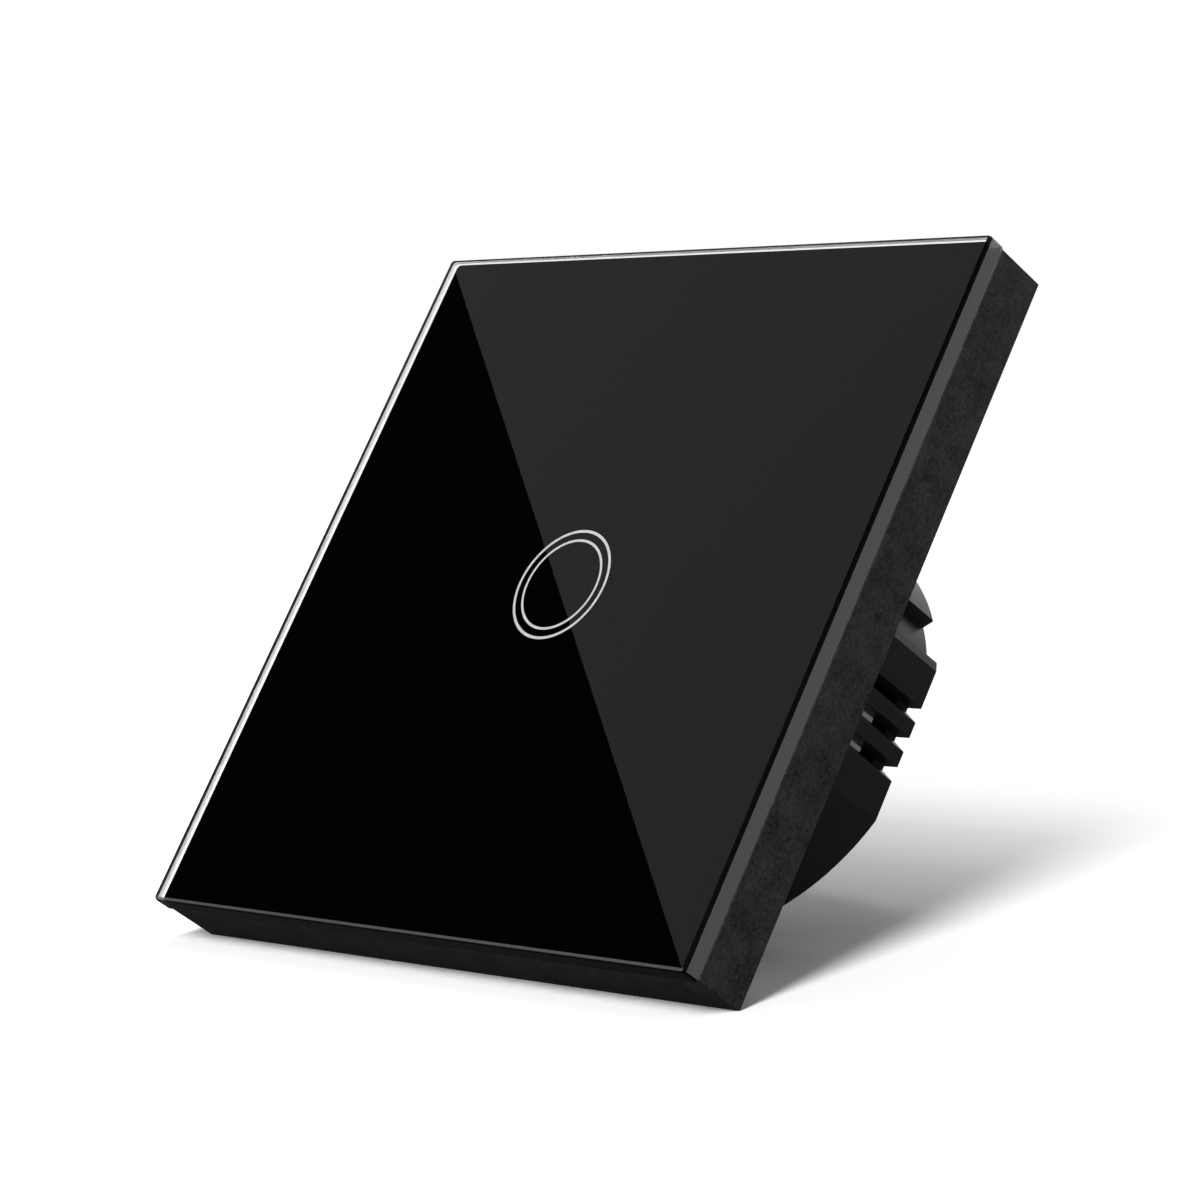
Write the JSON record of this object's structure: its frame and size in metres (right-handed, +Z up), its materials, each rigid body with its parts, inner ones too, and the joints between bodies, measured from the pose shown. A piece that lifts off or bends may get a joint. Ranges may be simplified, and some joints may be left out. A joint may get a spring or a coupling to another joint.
{
  "type": "touch light switch",
  "caption": "Square touch light switch for a wall box: black glass front in a thin moulded frame, with a round rear body that holds the boards and screw terminals.",
  "frame": {"origin": "middle of the switch on the wall surface, at the rear face of the mounting plate", "axes": "+X to the right as seen from the room, +Y into the wall, +Z up"},
  "size_m": [0.08, 0.0328, 0.08],
  "materials": {
    "clear_glass": "polished, ground edges",
    "black_ink": "screen print behind glass",
    "pale_ink": "screen print behind glass",
    "tape": "foam tape edge",
    "black_moulding": "fine spark texture",
    "carrier_moulding": "plain moulded",
    "spring_steel": "bright spring wire and strip",
    "zinc_steel": "zinc plated",
    "screw_steel": "zinc plated",
    "circuit_board": "solder mask",
    "chip_epoxy": "moulded epoxy",
    "chip_ceramic": "ceramic",
    "lamp_lens": "clear resin",
    "milky_plastic": "milky, satin",
    "relay_case": "moulded case",
    "film_case": "moulded box",
    "capacitor_can": "sleeved can",
    "winding": "enamelled wire",
    "blue_coating": "dipped coating",
    "ceramic_body": "lacquered ceramic",
    "plated_tab": "dull tin plate",
    "terminal_moulding": "plain moulded",
    "contact_brass": "plated brass",
    "cage_steel": "zinc plated"
  },
  "bodies": {
    "base": {"mounting_plate": "zinc_steel", "plate_screws": "screw_steel", "front_carrier": "carrier_moulding", "panel_clips": "spring_steel", "rear_housing": "black_moulding", "touch_board": "circuit_board", "touch_chip": "chip_epoxy", "touch_passives": "chip_ceramic", "status_leds": "lamp_lens", "light_guide": "milky_plastic", "touch_spring": "spring_steel", "header_socket": "chip_epoxy", "board_header": "chip_epoxy", "power_board": "circuit_board", "relay": "relay_case", "film_capacitor": "film_case", "bulk_capacitor": "capacitor_can", "inductor": "winding", "varistor": "blue_coating", "fuse_resistor": "ceramic_body", "bridge_rectifier": "chip_epoxy", "power_transistor": "chip_epoxy", "transistor_tab": "plated_tab", "terminal_block": "terminal_moulding", "terminal_contacts": "contact_brass"},
    "front": {"glass_panel": "clear_glass", "back_print": "black_ink", "ring_print": "pale_ink", "adhesive_tape": "tape", "panel_frame": "black_moulding"},
    "screw_1": {"terminal_screw_1": "screw_steel"},
    "cage_1": {"terminal_cage_1": "cage_steel"},
    "screw_2": {"terminal_screw_2": "screw_steel"},
    "cage_2": {"terminal_cage_2": "cage_steel"}
  },
  "joints": [
    {"name": "front_pull", "type": "slide", "parent": "base", "child": "front", "axis": [0, -1, 0], "range_m": [0, 0.012], "deforming": ["panel_clips"]},
    {"name": "screw_1_turn", "type": "hinge", "parent": "base", "child": "screw_1", "pos_m": [-0.0042, 0.0199, -0.0153], "axis": [0, -1, 0], "range_deg": [0, 1800]},
    {"name": "cage_1_lift", "type": "slide", "parent": "base", "child": "cage_1", "axis": [0, 1, 0], "range_m": [0, 0.0025]},
    {"name": "screw_2_turn", "type": "hinge", "parent": "base", "child": "screw_2", "pos_m": [0.0042, 0.0199, -0.0153], "axis": [0, -1, 0], "range_deg": [0, 1800]},
    {"name": "cage_2_lift", "type": "slide", "parent": "base", "child": "cage_2", "axis": [0, 1, 0], "range_m": [0, 0.0025]}
  ],
  "couplings": [
    {"joint": "screw_1_turn", "follows": "cage_1_lift", "rad_per_m": 12566},
    {"joint": "screw_2_turn", "follows": "cage_2_lift", "rad_per_m": 12566}
  ]
}
